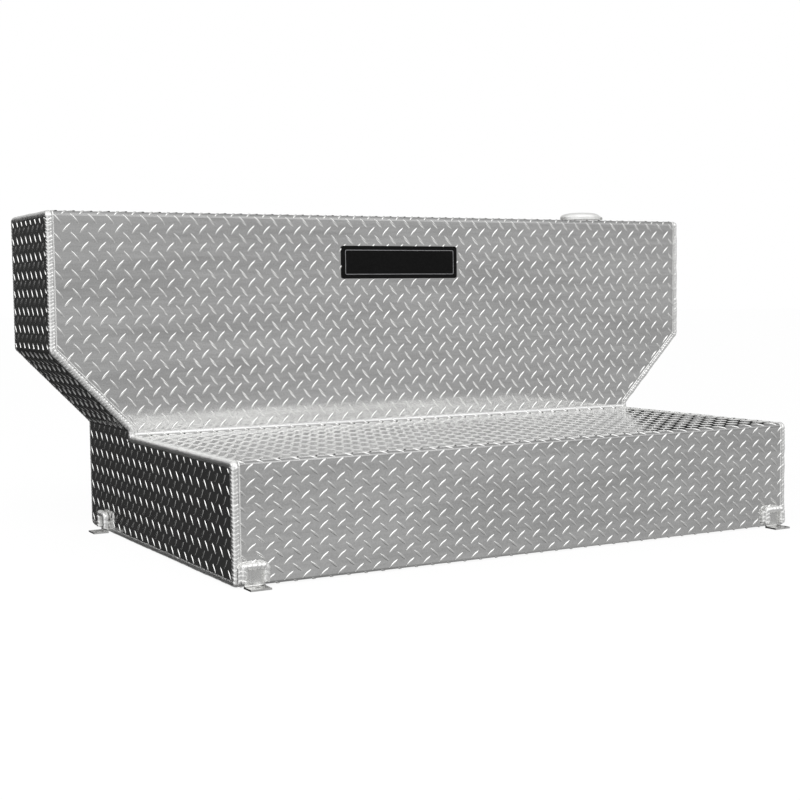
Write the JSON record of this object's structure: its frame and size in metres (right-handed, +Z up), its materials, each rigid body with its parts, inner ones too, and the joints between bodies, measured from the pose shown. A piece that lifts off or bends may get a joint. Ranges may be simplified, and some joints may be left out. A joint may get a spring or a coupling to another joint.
{
  "type": "truck bed liquid transfer tank",
  "caption": "L-shaped seam-welded tread-plate tank for a truck bed, with a hinged locking filler cap, surge plates, ports and bolt-down feet.",
  "frame": {"origin": "middle of the footprint's box, on the surface that the four feet stand on", "axes": "+X to the right across the truck, +Y to the back (the tall leg), +Z up"},
  "size_m": [1.524, 0.828, 0.6761],
  "materials": {
    "tread": "bright tread plate",
    "weld": "rippled weld bead",
    "plain": "mill",
    "cast": "polished casting",
    "zinc": "zinc plated",
    "brass": "machined",
    "rubber": "moulded",
    "enamel": "gloss black"
  },
  "bodies": {
    "tank": {"front_wrap_sheet": "tread", "rear_wrap_sheet": "tread", "left_end_sheet": "tread", "right_end_sheet": "tread", "left_seam_weld": "weld", "right_seam_weld": "weld", "top_seam_weld": "weld", "floor_seam_weld": "weld", "left_baffle": "plain", "middle_baffle": "plain", "right_baffle": "plain", "front_left_foot": "plain", "front_right_foot": "plain", "rear_left_foot": "plain", "rear_right_foot": "plain", "front_left_foot_weld": "weld", "front_right_foot_weld": "weld", "rear_left_foot_weld": "weld", "rear_right_foot_weld": "weld", "name_plate": "enamel", "filler_neck": "plain", "flange_gasket": "rubber", "filler_flange": "cast", "flange_screw_1": "zinc", "flange_screw_2": "zinc", "flange_screw_3": "zinc", "flange_screw_4": "zinc", "flange_screw_5": "zinc", "flange_screw_6": "zinc", "hinge_pin": "zinc", "pump_port_bung": "plain", "pump_port_weld": "weld", "pump_port_plug": "zinc", "vent_bung": "plain", "vent_weld": "weld", "vent_valve": "brass", "drain_bung": "plain", "drain_weld": "weld", "drain_plug": "brass"},
    "lid": {"filler_lid": "cast", "lid_seal": "rubber"},
    "lock": {"lock_cylinder": "zinc", "lock_cam": "zinc", "cam_nut": "zinc"}
  },
  "joints": [
    {"name": "lid_hinge", "type": "hinge", "parent": "tank", "child": "lid", "pos_m": [0.6275, 0.278, 0.663], "axis": [0, 1, 0], "range_deg": [0, 110]},
    {"name": "lock_turn", "type": "hinge", "parent": "lid", "child": "lock", "pos_m": [0.574, 0.278, 0.6505], "axis": [0, 0, 1], "range_deg": [0, 90]}
  ]
}
